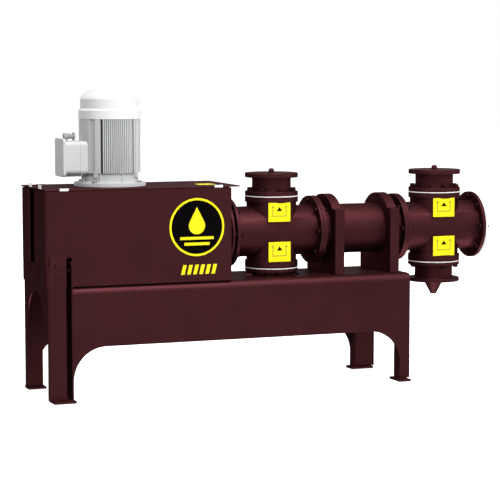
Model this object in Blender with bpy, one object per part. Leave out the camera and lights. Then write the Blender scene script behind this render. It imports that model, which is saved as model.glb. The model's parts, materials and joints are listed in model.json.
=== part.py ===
"""Piston pump: gear housing and flange motor on a folded frame, two valve bodies and a barrel."""
import math

import bmesh
import bpy
from mathutils import Matrix, Vector

# Driving dimensions in metres. X runs along the pump and is measured from the housing's left end,
# -Y is the front, Z is up from the floor, Y = 0 is the pump's mid plane.
MIDDLE_X = 1.028                # the finished object is centred here along X
GAP = 0.0003                    # clearance between neighbouring pieces
SHEET = 0.006                   # folded sheet of frame and housing

FRAME_RIGHT = 1.640
FRAME_HALF = 0.190              # half depth of the frame
FRAME_TOP = 0.471
FRAME_BEND = 0.014              # outer radius of the frame's folds
FLANGE_WIDTH = 0.040            # top flange of the beams
LEG_DEPTH = 0.060               # depth of a right leg along Y
RIB_DEPTH = 0.095               # depth of the rib, and of the front left leg's folded edge, along Y
RIB_LEFT = 0.107                # upright rib at the left end of the front beam
RIB_TOP = 0.578
SLOT_TOP = 0.593                # rounded top of the slot in the housing beside the rib
ARCH_TOP = 0.2215               # underside of the side beams
ARCH_RADIUS = 0.140
FRONT_ARCH = (0.1135, 1.589)    # clear span under the front beam, along X
REAR_ARCH = (0.060, 1.523)
END_ARCH_RADIUS = 0.1285        # arch between the legs at both ends
END_ARCH_SPRING = 0.290
END_APRON = 0.262               # below this the ends are open from leg to leg
LEG_EDGE = 0.181                # the legs' folded edges end here, along Y
END_SPLIT = 0.100               # the right end plate meets the beams here, along Y

LEG_LEFT = 0.0065               # left leg frame
LEG_WIDTH = 0.0799
BRACKET_LEFT = 0.002            # bolted bracket that joins the leg frame to the housing
BRACKET_END_TOP = 0.557         # its end stops below the housing's folded lips
BRACKET_SIDE_TOP = 0.597        # its side flanges lap over the housing
FOLD = 0.014                    # outer radius of the folds at the left end

FOOT_THICKNESS = 0.010
FEET = {"front_left_foot": ((0.020, 0.113), (-0.232, -0.142)),      # limits along X and Y
        "rear_left_foot": ((0.018, 0.095), (0.165, 0.232)),
        "front_right_foot": ((1.568, 1.624), (-0.232, -0.130)),
        "rear_right_foot": ((1.523, 1.630), (0.165, 0.232))}

HOUSING_LENGTH = 0.805
HOUSING_HALF = 0.184
HOUSING_TOP = 0.8615
GROOVE = (0.020, 0.075)         # upright groove in the left end, along Y
SLOT = (0.0867, 0.1135)         # slot in the front panel behind the rib, along X
HOUSING_LEFT_WALL = 0.030       # closes the housing behind the folded lips, along X
LID_BOTTOM = 0.8645
LID_TOP = 0.8700
LID_LEFT = -0.002
LID_RIGHT = 0.843
LID_MARGIN = 0.003              # the lid stands proud of front and rear by this
RIM_LEFT = 0.040                # seal rim under the lid
RIM_WIDTH = 0.012
RIM_DEPTH = 0.030

MOTOR_X = 0.332
MOTOR_FLANGE_RADIUS = 0.150
MOTOR_FLANGE_THICKNESS = 0.010
SHIELD_RADIUS = 0.1225          # end shield between flange and stator
STATOR_RADIUS = 0.128
STATOR_CORE = 0.116
STATOR = (0.9265, 1.149)        # heights of the finned part
FINS = 15                       # fins in each finned sector
SECTOR = math.radians(65)
TERMINAL_BACK = 0.125           # where the terminal box meets its lid, along X
TERMINAL_HALF = 0.060
TERMINAL_HEIGHTS = (0.922, 1.058)
TERMINAL_LID_FRONT = 0.113
TERMINAL_LID_HALF = 0.065
TERMINAL_LID_HEIGHTS = (0.912, 1.070)
GLAND_Z = 1.077
GLAND_X = 0.132
GLAND_RADIUS = 0.014
GLAND_CAP_RADIUS = 0.0185
COWL_RADIUS = 0.129
COWL_STEP = 1.186               # the cowl steps in above this height
COWL_TOP_RADIUS = 0.1215
COWL_SHOULDER = 0.025
COWL_TOP = 1.266

AXIS_Z = 0.659                  # height of the pump's axis
PIPE_RADIUS = 0.108
NECK_RADIUS = 0.084
PIPE_FLANGE_RADIUS = 0.147
NECK_FLANGE_RADIUS = 0.1148
FLANGE = 0.0145                 # thickness of the pipe flanges
ADAPTER_RING = (0.827, 0.838)   # ring between the housing and the first valve body, along X
SPIGOT_RADIUS = 0.118           # spigots between the flanges there
VALVES = ((0.8495, 1.0600, 1.2480), (1.6475, 1.8460, 2.0320))   # left face, branch axis, right face
BARREL = (1.2483, 1.6472)       # outer faces of the barrel's flanges
SADDLES = ((1.295, 1.338), (1.556, 1.599))
SADDLE_HALF = 0.155
SADDLE_SHOULDER = 0.753
SADDLE_RADIUS = 0.154
OUTLET_TOP = 0.910              # face of the outlet flanges
PLUG_RADIUS = 0.0125            # plug screwed into the middle of each outlet face
PLUG_DEPTH = 0.016
OUTLET_PLATE = 0.019            # thickness of the outlet flanges
NECK_PLATE = 0.018              # thickness of the neck flange on the outlet seal
BRANCH_REACH = 0.1495           # outer faces of the branch collars, above and below the axis
BRANCH_DROP = 0.005             # the lower collar reaches this much further
BRANCH_COLLAR = 0.0235
SEAL = 0.004                    # thickness of the white flange seals
INLET_BOTTOM = 0.411            # face of the inlet flanges
INLET_PLATE = 0.016
INLET_UPPER_PLATE = 0.014
DECK_HOLE_RADIUS = 0.122        # hole in the deck round the first inlet
DRAIN_TIP = 0.351               # drain cone under the second inlet
DRAIN_RADII = (0.012, 0.043)
END_BLANK = 0.011               # thickness of the blank disc at the right end
END_BOLTS = 8
END_BOLT_CIRCLE = 0.128         # radius of the bolt circle
END_BOLT_RADIUS = 0.0085
END_BOLT_TIP = 2.058

MAROON = (0.058, 0.016, 0.019)
MOTOR_GREY = (0.62, 0.63, 0.63)
WHITE = (0.80, 0.77, 0.76)
BLACK = (0.015, 0.014, 0.013)


def make_material(name, colour, metallic, roughness):
    material = bpy.data.materials.new(name)
    material.use_nodes = True
    shader = material.node_tree.nodes["Principled BSDF"]
    shader.inputs["Base Color"].default_value = (*colour, 1.0)
    shader.inputs["Metallic"].default_value = metallic
    shader.inputs["Roughness"].default_value = roughness
    return material


def finish(name, bm, colour, metallic=0.0, roughness=0.45, smooth=False):
    """Turns a bmesh into a named object with its own material."""
    bmesh.ops.recalc_face_normals(bm, faces=bm.faces)
    bmesh.ops.translate(bm, vec=(-MIDDLE_X, 0.0, 0.0), verts=bm.verts)
    mesh = bpy.data.meshes.new(name)
    bm.to_mesh(mesh)
    bm.free()
    obj = bpy.data.objects.new(name, mesh)
    bpy.context.scene.collection.objects.link(obj)
    mesh.materials.append(make_material(name, colour, metallic, roughness))
    if smooth:
        mesh.shade_smooth()
        mesh.set_sharp_from_angle(angle=math.radians(35))
    return obj


def box(x, y, z):
    """A block between the pairs of limits x, y and z."""
    size = Vector((x[1] - x[0], y[1] - y[0], z[1] - z[0]))
    middle = Vector((x[1] + x[0], y[1] + y[0], z[1] + z[0])) / 2
    bm = bmesh.new()
    bmesh.ops.create_cube(bm, size=1.0, matrix=Matrix.Translation(middle) @ Matrix.Diagonal((*size, 1.0)))
    return bm


def arc(centre, radius, start, end, steps):
    """Points on an arc, angles in degrees."""
    points = []
    for i in range(steps + 1):
        a = math.radians(start + (end - start) * i / steps)
        points.append((centre[0] + radius * math.cos(a), centre[1] + radius * math.sin(a)))
    return points


def prism(outline, axis, start, end):
    """Extrudes a flat outline along X, Y or Z; the outline holds the other two coordinates in order."""
    def place(p, h):
        if axis == "X":
            return (h, p[0], p[1])
        if axis == "Y":
            return (p[0], h, p[1])
        return (p[0], p[1], h)

    bm = bmesh.new()
    face = bm.faces.new([bm.verts.new(place(p, start)) for p in outline])
    grown = bmesh.ops.extrude_face_region(bm, geom=[face])
    shift = Vector(place((0.0, 0.0), end - start))
    moved = [v for v in grown["geom"] if isinstance(v, bmesh.types.BMVert)]
    bmesh.ops.translate(bm, vec=shift, verts=moved)
    return bm


def turned(profile, axis, centre, steps):
    """Spins a profile of (radius, height) pairs, from one end of the axis to the other."""
    bm = bmesh.new()
    rings = []
    for radius, height in profile:
        ring = []
        for i in range(steps):
            a = math.tau * (i + 0.5) / steps
            u, v = radius * math.cos(a), radius * math.sin(a)
            if axis == "X":
                ring.append(bm.verts.new((height, centre[0] + u, centre[1] + v)))
            else:
                ring.append(bm.verts.new((centre[0] + u, centre[1] + v, height)))
        rings.append(ring)
    for low, high in zip(rings, rings[1:]):
        for i in range(steps):
            j = (i + 1) % steps
            bm.faces.new((low[i], low[j], high[j], high[i]))
    bm.faces.new(rings[0])
    bm.faces.new(rings[-1])
    return bm


def boolean(obj, other_bm, operation):
    """Applies a Boolean with a helper solid to an object's mesh."""
    helper = finish("helper", other_bm, BLACK)
    modifier = obj.modifiers.new("boolean", "BOOLEAN")
    modifier.operation = operation
    modifier.solver = "EXACT"
    modifier.object = helper
    bpy.context.view_layer.update()
    mesh = bpy.data.meshes.new_from_object(obj.evaluated_get(bpy.context.evaluated_depsgraph_get()))
    obj.modifiers.clear()
    old = obj.data
    while len(mesh.materials) > 1:
        mesh.materials.pop()
    mesh.name = obj.name
    obj.data = mesh
    bpy.data.meshes.remove(old)
    bpy.data.objects.remove(helper)


def rounded_block(x, y, z, radius, steps):
    """A block whose top edges and right-hand upright edges are rounded."""
    bm = box(x, y, z)
    picked = []
    for edge in bm.edges:
        a, b = (v.co for v in edge.verts)
        on_top = abs(a.z - z[1]) < 1e-6 and abs(b.z - z[1]) < 1e-6
        right = abs(a.x - x[1]) < 1e-6 and abs(b.x - x[1]) < 1e-6
        along_x = abs(a.x - b.x) > 1e-6
        if (on_top and along_x) or (on_top and right) or (right and abs(a.z - b.z) > 1e-6):
            picked.append(edge)
    bmesh.ops.bevel(bm, geom=picked, offset=radius, segments=steps, profile=0.5, affect="EDGES")
    return bm


def side_arch(span):
    """Outline in XZ of the space under a side beam."""
    left, right = span
    spring = ARCH_TOP - ARCH_RADIUS
    outline = [(left, -0.1)]
    outline += arc((left + ARCH_RADIUS, spring), ARCH_RADIUS, 180, 90, 10)
    outline += arc((right - ARCH_RADIUS, spring), ARCH_RADIUS, 90, 0, 10)
    outline.append((right, -0.1))
    return outline


def end_arch():
    """Outline in YZ of the space between the legs at one end: wide below, an arch above."""
    return ([(-LEG_EDGE, -0.1), (-LEG_EDGE, END_APRON), (-END_ARCH_RADIUS, END_APRON)]
            + arc((0.0, END_ARCH_SPRING), END_ARCH_RADIUS, 180, 0, 18)
            + [(END_ARCH_RADIUS, END_APRON), (LEG_EDGE, END_APRON), (LEG_EDGE, -0.1)])


def u_plan(left, right, half, wall, radius, back=0.0):
    """Plan in XY of a sheet folded round the left end: front flange, end, rear flange.

    back is how far the front flange's right edge is folded back into the frame.
    """
    inner = max(radius - wall, 0.001)
    outline = [(right, -half)]
    outline += arc((left + radius, -half + radius), radius, 270, 180, 4)
    outline += arc((left + radius, half - radius), radius, 180, 90, 4)
    outline.append((right, half))
    outline.append((right, half - wall))
    outline += arc((left + wall + inner, half - wall - inner), inner, 90, 180, 3)
    outline += arc((left + wall + inner, -half + wall + inner), inner, 180, 270, 3)
    if back:
        outline += [(right - wall, -half + wall), (right - wall, -half + back), (right, -half + back)]
    else:
        outline.append((right, -half + wall))
    return outline


def frame_shell(name, left):
    """The folded frame from left on: side beams, right end and top flanges in one shell."""
    shell = finish(name, rounded_block((left, FRAME_RIGHT), (-FRAME_HALF, FRAME_HALF),
                                       (FOOT_THICKNESS + GAP, FRAME_TOP), FRAME_BEND, 4), MAROON)
    boolean(shell, rounded_block((left - 0.05, FRAME_RIGHT - SHEET),
                                 (-FRAME_HALF + SHEET, FRAME_HALF - SHEET),
                                 (-0.1, FRAME_TOP - SHEET), FRAME_BEND - SHEET, 3), "DIFFERENCE")
    opening = FRAME_HALF - FLANGE_WIDTH
    boolean(shell, box((left - 0.05, FRAME_RIGHT - FLANGE_WIDTH), (-opening, opening),
                       (FRAME_TOP - 0.05, FRAME_TOP + 0.05)), "DIFFERENCE")
    boolean(shell, prism(side_arch(FRONT_ARCH), "Y", -FRAME_HALF - 0.01, 0.0), "DIFFERENCE")
    boolean(shell, prism(side_arch(REAR_ARCH), "Y", 0.0, FRAME_HALF + 0.01), "DIFFERENCE")
    boolean(shell, prism(end_arch(), "X", FRAME_RIGHT - 0.05, FRAME_RIGHT + 0.05), "DIFFERENCE")
    return shell


def make_frame():
    inner = FRAME_HALF - LEG_DEPTH
    tall = (-0.1, 1.0)
    long = (-0.1, 2.0)
    front, rear = RIB_LEFT + SHEET + GAP, LEG_LEFT + LEG_WIDTH + GAP
    boolean(frame_shell("front_beam", front), box(long, (-0.4, -END_SPLIT - GAP / 2), tall), "INTERSECT")
    boolean(frame_shell("rear_beam", rear), box(long, (END_SPLIT + GAP / 2, 0.4), tall), "INTERSECT")
    boolean(frame_shell("right_end_plate", front),
            box((1.0, 2.0), (-END_SPLIT + GAP / 2, END_SPLIT - GAP / 2), tall), "INTERSECT")

    rib = prism([(-FRAME_HALF, FOOT_THICKNESS + GAP), (-FRAME_HALF, RIB_TOP - 0.02)]
                + arc((-FRAME_HALF + 0.02, RIB_TOP - 0.02), 0.02, 180, 90, 5)
                + [(RIB_DEPTH - FRAME_HALF, RIB_TOP), (RIB_DEPTH - FRAME_HALF, FOOT_THICKNESS + GAP)],
                "X", RIB_LEFT, RIB_LEFT + SHEET)
    finish("front_left_rib", rib, MAROON)

    wall = FRAME_HALF - SHEET - GAP
    for name, x, y in (("front_right_leg_plate", FRONT_ARCH[1], (-wall, -inner)),
                       ("rear_right_leg_plate", REAR_ARCH[1], (inner, wall))):
        finish(name, box((x, x + SHEET), y, (FOOT_THICKNESS + GAP, 0.300)), MAROON)

    right = LEG_LEFT + LEG_WIDTH
    plan = u_plan(LEG_LEFT, right, FRAME_HALF, SHEET, FOLD, RIB_DEPTH)
    leg = finish("left_leg_frame", prism(plan, "Z", FOOT_THICKNESS + GAP, FRAME_TOP), MAROON)
    boolean(leg, prism(end_arch(), "X", -0.05, LEG_LEFT + 0.03), "DIFFERENCE")
    plan = u_plan(BRACKET_LEFT, right, HOUSING_HALF + GAP + SHEET, SHEET, FOLD)
    bracket = finish("left_bracket", prism(plan, "Z", FRAME_TOP + GAP, BRACKET_SIDE_TOP), MAROON)
    boolean(bracket, box((-0.1, BRACKET_LEFT + FOLD), (-0.3, 0.3), (BRACKET_END_TOP, 1.0)), "DIFFERENCE")

    for name, (x, y) in FEET.items():
        finish(name, box(x, y, (0.0, FOOT_THICKNESS)), MAROON)


def make_deck():
    """Plate between the beams, with the hole for the first inlet."""
    edge = FRAME_HALF - FLANGE_WIDTH - GAP
    along = (HOUSING_LENGTH + 0.002, FRAME_RIGHT - FLANGE_WIDTH - GAP)
    deck = finish("deck_plate", box(along, (-edge, edge), (FRAME_TOP - SHEET, FRAME_TOP)), MAROON)
    centre = (VALVES[0][1], 0.0)
    hole = [(DECK_HOLE_RADIUS, FRAME_TOP - 0.05), (DECK_HOLE_RADIUS, FRAME_TOP + 0.05)]
    boolean(deck, turned(hole, "Z", centre, 32), "DIFFERENCE")


def folded_panel(name, front):
    """A housing side folded round the left end, up to the groove."""
    sign = -1.0 if front else 1.0
    tip = GROOVE[0] if front else GROOVE[1]
    r = FOLD
    inner = r - SHEET
    outer_y = sign * HOUSING_HALF
    inner_y = sign * (HOUSING_HALF - SHEET)
    corner = (r, sign * (HOUSING_HALF - r))
    start, end = (270, 180) if front else (90, 180)
    outline = [(HOUSING_LENGTH, outer_y)] + arc(corner, r, start, end, 4) + [(0.0, tip), (SHEET, tip)]
    outline += list(reversed(arc(corner, inner, start, end, 3))) + [(HOUSING_LENGTH, inner_y)]
    panel = finish(name, prism(outline, "Z", FRAME_TOP + GAP, HOUSING_TOP), MAROON)
    boolean(panel, box((-0.05, BRACKET_LEFT + FOLD + GAP), (-0.3, 0.3),
                       (0.3, BRACKET_END_TOP + GAP)), "DIFFERENCE")
    return panel


def make_housing():
    panel = folded_panel("housing_front_panel", True)
    half = (SLOT[1] - SLOT[0]) / 2
    middle = (SLOT[0] + SLOT[1]) / 2
    slot = [(SLOT[0], 0.3)] + arc((middle, SLOT_TOP - half), half, 180, 0, 8) + [(SLOT[1], 0.3)]
    boolean(panel, prism(slot, "Y", -HOUSING_HALF - 0.02, -HOUSING_HALF + 0.02), "DIFFERENCE")
    folded_panel("housing_rear_panel", False)

    inside = HOUSING_HALF - SHEET - GAP
    heights = (FRAME_TOP + GAP, HOUSING_TOP)
    for side, left in (("right", HOUSING_LENGTH - SHEET), ("left", HOUSING_LEFT_WALL)):
        finish("housing_%s_wall" % side, box((left, left + SHEET), (-inside, inside), heights), MAROON)
    finish("housing_floor", box((SLOT[1] + 0.002, HOUSING_LENGTH - SHEET - GAP), (-inside, inside),
                                (FRAME_TOP + GAP, FRAME_TOP + GAP + SHEET)), MAROON)

    lid_half = HOUSING_HALF + LID_MARGIN
    finish("housing_lid", box((LID_LEFT, LID_RIGHT), (-lid_half, lid_half), (LID_BOTTOM, LID_TOP)), MAROON)
    right = HOUSING_LENGTH - SHEET - GAP
    ring = finish("lid_rim", box((RIM_LEFT, right), (-inside + GAP, inside - GAP),
                                 (HOUSING_TOP - RIM_DEPTH, LID_BOTTOM - GAP)), MAROON)
    hole = inside - RIM_WIDTH
    boolean(ring, box((RIM_LEFT + RIM_WIDTH, right - RIM_WIDTH), (-hole, hole),
                      (HOUSING_TOP - RIM_DEPTH - 0.01, LID_TOP)), "DIFFERENCE")


def stator_outline():
    """Plan of the stator: four finned sectors with smooth pads between them."""
    outline = []
    centre = Vector((MOTOR_X, 0.0))
    pitch = SECTOR / FINS
    for quarter in range(4):
        middle = math.radians(-90 + 90 * quarter)
        for fin in range(FINS):
            start = middle - SECTOR / 2 + fin * pitch
            for share, radius in ((0.0, STATOR_CORE), (0.55, STATOR_CORE),
                                  (0.55, STATOR_RADIUS), (1.0, STATOR_RADIUS)):
                a = start + share * pitch
                outline.append(tuple(centre + radius * Vector((math.cos(a), math.sin(a)))))
        pad = math.radians(90) - SECTOR
        for step in range(1, 4):
            a = middle + SECTOR / 2 + pad * step / 4
            outline.append(tuple(centre + STATOR_RADIUS * Vector((math.cos(a), math.sin(a)))))
    return outline


def round_edges_along_x(bm, radius):
    edges = [e for e in bm.edges if abs(e.verts[0].co.x - e.verts[1].co.x) > 0.001]
    bmesh.ops.bevel(bm, geom=edges, offset=radius, segments=3, profile=0.5, affect="EDGES")


def make_motor():
    spot = (MOTOR_X, 0.0)
    low = LID_TOP + GAP
    shield = [(MOTOR_FLANGE_RADIUS, low), (MOTOR_FLANGE_RADIUS, low + MOTOR_FLANGE_THICKNESS),
              (SHIELD_RADIUS + 0.0075, low + 0.015), (SHIELD_RADIUS, low + 0.020),
              (SHIELD_RADIUS, STATOR[0] - GAP)]
    finish("motor_flange", turned(shield, "Z", spot, 48), MOTOR_GREY, 0.3, 0.4, True)
    finish("motor_stator", prism(stator_outline(), "Z", *STATOR), MOTOR_GREY, 0.3, 0.4)

    body = box((TERMINAL_BACK, MOTOR_X - 0.080), (-TERMINAL_HALF, TERMINAL_HALF), TERMINAL_HEIGHTS)
    round_edges_along_x(body, 0.016)
    core = turned([(STATOR_RADIUS + GAP, 0.90), (STATOR_RADIUS + GAP, 1.20)], "Z", spot, 72)
    boolean(finish("terminal_box", body, MOTOR_GREY, 0.3, 0.4), core, "DIFFERENCE")
    lid = box((TERMINAL_LID_FRONT, TERMINAL_BACK - GAP), (-TERMINAL_LID_HALF, TERMINAL_LID_HALF),
              TERMINAL_LID_HEIGHTS)
    round_edges_along_x(lid, 0.014)
    finish("terminal_box_lid", lid, MOTOR_GREY, 0.3, 0.4)

    gland = turned([(GLAND_RADIUS, GLAND_X), (GLAND_RADIUS, GLAND_X + 0.018),
                    (GLAND_RADIUS - 0.003, GLAND_X + 0.019), (GLAND_RADIUS - 0.003, GLAND_X + 0.040),
                    (GLAND_CAP_RADIUS, GLAND_X + 0.041), (GLAND_CAP_RADIUS, GLAND_X + 0.048)],
                   "X", (0.0, GLAND_Z), 20)
    stem = box((GLAND_X + 0.002, GLAND_X + 0.016), (-0.009, 0.009),
               (TERMINAL_HEIGHTS[1] + GAP, GLAND_Z - 0.007))
    boolean(finish("cable_gland", gland, MOTOR_GREY, 0.3, 0.4, True), stem, "UNION")

    cowl = [(COWL_RADIUS, STATOR[1] + GAP), (COWL_RADIUS, COWL_STEP), (COWL_TOP_RADIUS, COWL_STEP + 0.005),
            (COWL_TOP_RADIUS, COWL_TOP - 0.036)]
    shoulder = (COWL_TOP_RADIUS - COWL_SHOULDER, COWL_TOP - 0.030)
    cowl += arc(shoulder, COWL_SHOULDER, 15, 90, 4)
    cowl += [(0.080, COWL_TOP - 0.004), (0.060, COWL_TOP)]
    finish("fan_cowl", turned(cowl, "Z", spot, 48), MOTOR_GREY, 0.3, 0.4, True)


def make_adapter():
    start, end = HOUSING_LENGTH + GAP, VALVES[0][0] - GAP
    profile = [(SPIGOT_RADIUS, start), (SPIGOT_RADIUS, ADAPTER_RING[0]), (PIPE_FLANGE_RADIUS, ADAPTER_RING[0]),
               (PIPE_FLANGE_RADIUS, ADAPTER_RING[1]), (SPIGOT_RADIUS, ADAPTER_RING[1]), (SPIGOT_RADIUS, end)]
    finish("pump_adapter", turned(profile, "X", (0.0, AXIS_Z), 40), MAROON, 0.0, 0.45, True)


def smooth(obj):
    obj.data.shade_smooth()
    obj.data.set_sharp_from_angle(angle=math.radians(35))


def make_seal(name, spot, low):
    ring = turned([(NECK_FLANGE_RADIUS, low), (NECK_FLANGE_RADIUS, low + SEAL)], "Z", spot, 40)
    finish(name, ring, WHITE, 0.0, 0.6, True)


def make_valve(number, left, axis_x, right):
    run = [(PIPE_FLANGE_RADIUS, left), (PIPE_FLANGE_RADIUS, left + FLANGE), (PIPE_RADIUS, left + FLANGE),
           (PIPE_RADIUS, right - FLANGE), (PIPE_FLANGE_RADIUS, right - FLANGE), (PIPE_FLANGE_RADIUS, right)]
    body = finish("valve_body_%d" % number, turned(run, "X", (0.0, AXIS_Z), 40), MAROON, 0.0, 0.45, True)
    top = AXIS_Z + BRANCH_REACH
    bottom = AXIS_Z - BRANCH_REACH - BRANCH_DROP
    branch_radius = PIPE_RADIUS - 0.0005
    branch = [(NECK_FLANGE_RADIUS, bottom), (NECK_FLANGE_RADIUS, bottom + BRANCH_DROP + BRANCH_COLLAR),
              (branch_radius, bottom + BRANCH_DROP + BRANCH_COLLAR), (branch_radius, top - BRANCH_COLLAR),
              (NECK_FLANGE_RADIUS, top - BRANCH_COLLAR), (NECK_FLANGE_RADIUS, top)]
    spot = (axis_x, 0.0)
    boolean(body, turned(branch, "Z", spot, 40), "UNION")
    smooth(body)

    make_seal("outlet_gasket_%d" % number, spot, top + GAP)
    low = top + GAP + SEAL + GAP
    neck = [(NECK_FLANGE_RADIUS, low), (NECK_FLANGE_RADIUS, low + NECK_PLATE), (NECK_RADIUS, low + NECK_PLATE),
            (NECK_RADIUS, OUTLET_TOP - OUTLET_PLATE), (NECK_FLANGE_RADIUS, OUTLET_TOP - OUTLET_PLATE),
            (NECK_FLANGE_RADIUS, OUTLET_TOP)]
    outlet = finish("outlet_neck_%d" % number, turned(neck, "Z", spot, 40), MAROON, 0.0, 0.45, True)
    seat = OUTLET_TOP - PLUG_DEPTH
    bore = [(PLUG_RADIUS + GAP, seat), (PLUG_RADIUS + GAP, OUTLET_TOP + 0.01)]
    boolean(outlet, turned(bore, "Z", spot, 16), "DIFFERENCE")
    smooth(outlet)
    plug = [(PLUG_RADIUS, seat + GAP), (PLUG_RADIUS, OUTLET_TOP + 0.012), (0.84 * PLUG_RADIUS, OUTLET_TOP + 0.0165),
            (0.48 * PLUG_RADIUS, OUTLET_TOP + 0.019)]
    finish("outlet_knob_%d" % number, turned(plug, "Z", spot, 16), MAROON, 0.0, 0.45, True)

    make_seal("inlet_gasket_%d" % number, spot, bottom - GAP - SEAL)
    high = bottom - GAP - SEAL - GAP
    inlet = [(NECK_FLANGE_RADIUS, INLET_BOTTOM), (NECK_FLANGE_RADIUS, INLET_BOTTOM + INLET_PLATE),
             (NECK_RADIUS, INLET_BOTTOM + INLET_PLATE), (NECK_RADIUS, high - INLET_UPPER_PLATE),
             (NECK_FLANGE_RADIUS, high - INLET_UPPER_PLATE), (NECK_FLANGE_RADIUS, high)]
    finish("inlet_neck_%d" % number, turned(inlet, "Z", spot, 40), MAROON, 0.0, 0.45, True)


def make_barrel():
    profile = [(PIPE_FLANGE_RADIUS, BARREL[0]), (PIPE_FLANGE_RADIUS, BARREL[0] + FLANGE),
               (PIPE_RADIUS, BARREL[0] + FLANGE), (PIPE_RADIUS, BARREL[1] - FLANGE),
               (PIPE_FLANGE_RADIUS, BARREL[1] - FLANGE), (PIPE_FLANGE_RADIUS, BARREL[1])]
    finish("barrel", turned(profile, "X", (0.0, AXIS_Z), 40), MAROON, 0.0, 0.45, True)
    for number, (a, b) in enumerate(SADDLES, 1):
        chord = math.sqrt(SADDLE_RADIUS ** 2 - (SADDLE_SHOULDER - AXIS_Z) ** 2)
        rise = math.degrees(math.asin((SADDLE_SHOULDER - AXIS_Z) / SADDLE_RADIUS))
        outline = [(-SADDLE_HALF, FRAME_TOP + GAP), (-SADDLE_HALF, SADDLE_SHOULDER), (-chord, SADDLE_SHOULDER)]
        outline += arc((0.0, AXIS_Z), SADDLE_RADIUS, 180 - rise, rise, 14)[1:-1]
        outline += [(chord, SADDLE_SHOULDER), (SADDLE_HALF, SADDLE_SHOULDER), (SADDLE_HALF, FRAME_TOP + GAP)]
        saddle = finish("saddle_%d" % number, prism(outline, "X", a, b), MAROON)
        boolean(saddle, turned([(PIPE_RADIUS + GAP, a - 0.01), (PIPE_RADIUS + GAP, b + 0.01)],
                               "X", (0.0, AXIS_Z), 40), "DIFFERENCE")


def make_ends():
    """The drain cone under the second inlet, and the blank disc with its bolt ends at the right end."""
    drain = [(DRAIN_RADII[0], DRAIN_TIP), (DRAIN_RADII[1], INLET_BOTTOM - GAP)]
    finish("inlet_cone", turned(drain, "Z", (VALVES[1][1], 0.0), 32), MAROON, 0.0, 0.45, True)
    start = VALVES[1][2] + GAP
    face = start + END_BLANK
    blank = finish("end_blank", turned([(PIPE_FLANGE_RADIUS, start), (PIPE_FLANGE_RADIUS, face)],
                                       "X", (0.0, AXIS_Z), 40), WHITE, 0.0, 0.6, True)
    for number in range(END_BOLTS):
        a = math.tau * number / END_BOLTS
        spot = (END_BOLT_CIRCLE * math.cos(a), AXIS_Z + END_BOLT_CIRCLE * math.sin(a))
        boolean(blank, turned([(END_BOLT_RADIUS, face - 0.004), (END_BOLT_RADIUS, END_BOLT_TIP)], "X", spot, 12),
                "UNION")


def build():
    for obj in list(bpy.data.objects):
        bpy.data.objects.remove(obj)
    make_frame()
    make_deck()
    make_housing()
    make_motor()
    make_adapter()
    for number, (left, axis_x, right) in enumerate(VALVES, 1):
        make_valve(number, left, axis_x, right)
    make_barrel()
    make_ends()


build()
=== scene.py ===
import json
import math

import bmesh
import bpy
from mathutils import Matrix, Vector


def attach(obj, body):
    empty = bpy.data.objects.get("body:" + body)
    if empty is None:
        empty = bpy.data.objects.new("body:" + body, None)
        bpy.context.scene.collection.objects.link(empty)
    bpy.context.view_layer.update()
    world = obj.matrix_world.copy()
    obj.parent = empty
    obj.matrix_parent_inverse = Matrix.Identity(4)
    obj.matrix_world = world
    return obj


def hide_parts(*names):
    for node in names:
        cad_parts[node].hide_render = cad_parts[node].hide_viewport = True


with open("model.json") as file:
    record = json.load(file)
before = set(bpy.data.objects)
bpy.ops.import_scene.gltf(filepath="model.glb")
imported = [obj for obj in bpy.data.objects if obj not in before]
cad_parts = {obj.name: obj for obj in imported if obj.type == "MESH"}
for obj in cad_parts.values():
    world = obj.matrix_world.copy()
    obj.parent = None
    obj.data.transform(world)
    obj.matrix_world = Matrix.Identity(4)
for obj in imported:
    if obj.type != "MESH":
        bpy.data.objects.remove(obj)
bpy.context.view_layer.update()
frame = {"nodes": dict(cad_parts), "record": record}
nodes = frame["nodes"]

# Lengths are in metres. X is measured from the housing's left end, and a piece is
# moved from there to the middle of the pump when it is made.
leftEnd = -1.028
hair = 0.0003               # room between neighbours that touch
past = 0.05                 # how far a cutting shape stands out of what it cuts
bite = 0.001                # how far a part of a piece runs into the next
underFloor = -0.1           # where a cutting shape that is open below ends
sheet = 0.006               # folded sheet of frame and housing
axisZ = 0.659               # height of the pump's axis
frameTop = 0.471
lidTop = 0.870


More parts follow.
